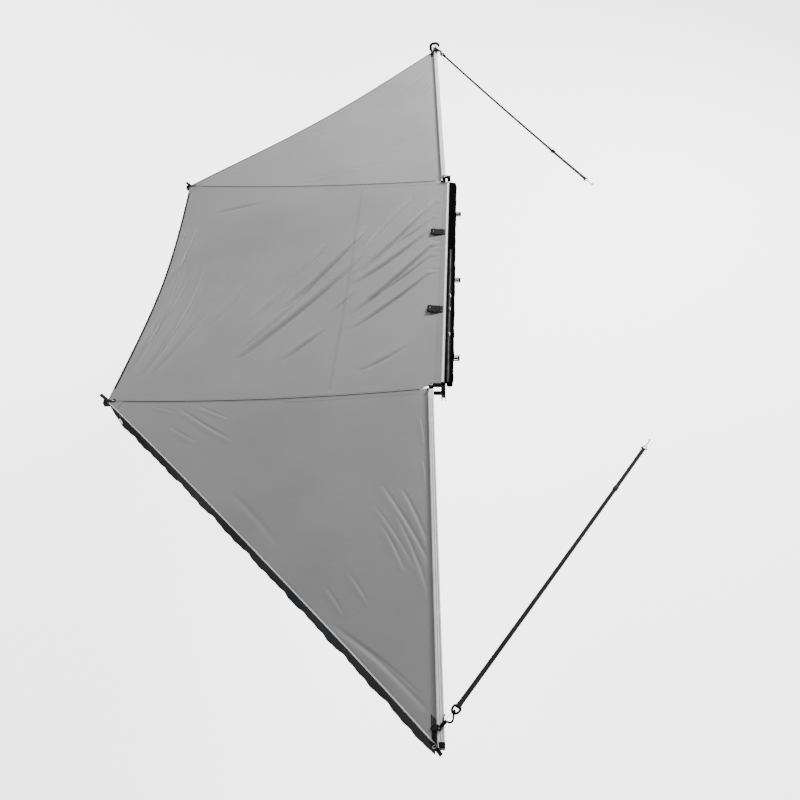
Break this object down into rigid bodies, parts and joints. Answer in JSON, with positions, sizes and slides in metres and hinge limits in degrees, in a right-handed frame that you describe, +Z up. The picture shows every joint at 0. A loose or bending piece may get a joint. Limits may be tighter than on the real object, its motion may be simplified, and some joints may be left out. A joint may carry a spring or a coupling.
{
  "type": "vehicle side awning",
  "caption": "Fan-shaped side awning: a roof-side beam, swinging arms with stowed folding legs, a three-panel cloth canopy with hanging edges, and guy straps.",
  "frame": {"origin": "middle of the underside of the middle foot bracket, where it rests on the vehicle's roof bar", "axes": "+Z up, +Y the vehicle's forward direction along the beam, -X out from the vehicle's left side over the canopy"},
  "size_m": [3.6142, 6.7945, 0.6139],
  "materials": {
    "aluminium": "satin anodised",
    "zinc_steel": "zinc plated",
    "black_steel": "satin black powder coat",
    "black_plastic": "moulded, matt",
    "rubber": "matt",
    "canopy_cloth": "grey coated ripstop",
    "valance_cloth": "black woven",
    "webbing": "black webbing",
    "cover_cloth": "black coated"
  },
  "bodies": {
    "beam": {"beam_rail": "aluminium", "front_end_bracket": "black_steel", "rear_end_bracket": "black_steel", "front_pivot_bolt": "zinc_steel", "rear_pivot_bolt": "zinc_steel", "front_pivot_spacer": "zinc_steel", "rear_pivot_spacer": "zinc_steel", "front_foot_bracket": "black_steel", "middle_foot_bracket": "black_steel", "rear_foot_bracket": "black_steel", "travel_cover": "cover_cloth", "middle_canopy": "canopy_cloth", "middle_valance": "valance_cloth", "front_roof_strap": "webbing", "rear_roof_strap": "webbing"},
    "mid_front_arm": {"mid_front_arm_channel": "aluminium", "mid_front_arm_knuckle": "black_plastic", "mid_front_arm_cap": "black_plastic", "mid_front_leg_pin": "zinc_steel", "front_canopy": "canopy_cloth", "front_valance": "valance_cloth"},
    "front_arm": {"front_arm_channel": "aluminium", "front_arm_knuckle": "black_plastic", "front_arm_cap": "black_plastic", "front_leg_pin": "zinc_steel", "front_corner_tab": "webbing", "front_strap_hook": "zinc_steel", "front_strap_ring": "zinc_steel", "front_strap_webbing": "webbing", "front_strap_buckle": "black_steel", "front_strap_far_hook": "zinc_steel"},
    "mid_rear_arm": {"mid_rear_arm_channel": "aluminium", "mid_rear_arm_knuckle": "black_plastic", "mid_rear_arm_cap": "black_plastic", "mid_rear_leg_pin": "zinc_steel", "rear_canopy": "canopy_cloth", "rear_valance": "valance_cloth"},
    "rear_arm": {"rear_arm_channel": "aluminium", "rear_arm_knuckle": "black_plastic", "rear_arm_cap": "black_plastic", "rear_leg_pin": "zinc_steel", "rear_corner_tab": "webbing", "rear_strap_hook": "zinc_steel", "rear_strap_ring": "zinc_steel", "rear_strap_webbing": "webbing", "rear_strap_buckle": "black_steel", "rear_strap_far_hook": "zinc_steel"},
    "mid_front_leg": {"mid_front_leg_tube": "aluminium"},
    "mid_front_leg_extension": {"mid_front_leg_rod": "aluminium", "mid_front_leg_foot": "rubber"},
    "front_leg": {"front_leg_tube": "aluminium"},
    "front_leg_extension": {"front_leg_rod": "aluminium", "front_leg_foot": "rubber"},
    "mid_rear_leg": {"mid_rear_leg_tube": "aluminium"},
    "mid_rear_leg_extension": {"mid_rear_leg_rod": "aluminium", "mid_rear_leg_foot": "rubber"},
    "rear_leg": {"rear_leg_tube": "aluminium"},
    "rear_leg_extension": {"rear_leg_rod": "aluminium", "rear_leg_foot": "rubber"}
  },
  "joints": [
    {"name": "mid_front_swing", "type": "hinge", "parent": "beam", "child": "mid_front_arm", "pos_m": [-0.0963, 1.15, 0.0609], "axis": [0, 0, 1], "range_deg": [0, 89.8], "deforming": ["front_canopy", "front_valance", "middle_canopy", "middle_valance", "front_roof_strap", "rear_roof_strap"]},
    {"name": "front_swing", "type": "hinge", "parent": "beam", "child": "front_arm", "pos_m": [-0.0963, 1.15, 0.0989], "axis": [0, 0, 1], "range_deg": [0, 176.7], "deforming": ["front_corner_tab", "front_strap_ring", "front_strap_webbing", "front_strap_buckle", "front_strap_far_hook"]},
    {"name": "mid_rear_swing", "type": "hinge", "parent": "beam", "child": "mid_rear_arm", "pos_m": [-0.1353, -1.15, 0.0609], "axis": [0, 0, -1], "range_deg": [0, 93], "deforming": ["rear_canopy", "rear_valance"]},
    {"name": "rear_swing", "type": "hinge", "parent": "beam", "child": "rear_arm", "pos_m": [-0.1353, -1.15, 0.0989], "axis": [0, 0, -1], "range_deg": [0, 183], "deforming": ["rear_corner_tab", "rear_strap_ring", "rear_strap_webbing", "rear_strap_buckle", "rear_strap_far_hook"]},
    {"name": "mid_front_leg_fold", "type": "hinge", "parent": "mid_front_arm", "child": "mid_front_leg", "pos_m": [-2.21229, 1.14261, 0.0594], "axis": [-0.0035, 1, 0], "range_deg": [0, 90]},
    {"name": "mid_front_leg_slide", "type": "slide", "parent": "mid_front_leg", "child": "mid_front_leg_extension", "axis": [1, 0.0035, 0], "range_m": [0, 0.9]},
    {"name": "front_leg_fold", "type": "hinge", "parent": "front_arm", "child": "front_leg", "pos_m": [-0.22259, 3.34036, 0.0974], "axis": [0.9983, 0.0576, 0], "range_deg": [0, 90]},
    {"name": "front_leg_slide", "type": "slide", "parent": "front_leg", "child": "front_leg_extension", "axis": [0.0576, -0.9983, 0], "range_m": [0, 0.9]},
    {"name": "mid_rear_leg_fold", "type": "hinge", "parent": "mid_rear_arm", "child": "mid_rear_leg", "pos_m": [-2.22144, -1.25933, 0.0594], "axis": [-0.0523, 0.9986, 0], "range_deg": [0, 90]},
    {"name": "mid_rear_leg_slide", "type": "slide", "parent": "mid_rear_leg", "child": "mid_rear_leg_extension", "axis": [0.9986, 0.0523, 0], "range_m": [0, 0.9]},
    {"name": "rear_leg_fold", "type": "hinge", "parent": "rear_arm", "child": "rear_leg", "pos_m": [-0.02048, -3.34099, 0.0974], "axis": [-0.9986, -0.0523, 0], "range_deg": [0, 90]},
    {"name": "rear_leg_slide", "type": "slide", "parent": "rear_leg", "child": "rear_leg_extension", "axis": [-0.0523, 0.9986, 0], "range_m": [0, 0.9]}
  ],
  "couplings": [
    {"joint": "front_swing", "follows": "mid_front_swing", "ratio": 1.9677},
    {"joint": "rear_swing", "follows": "mid_rear_swing", "ratio": 1.9677}
  ]
}
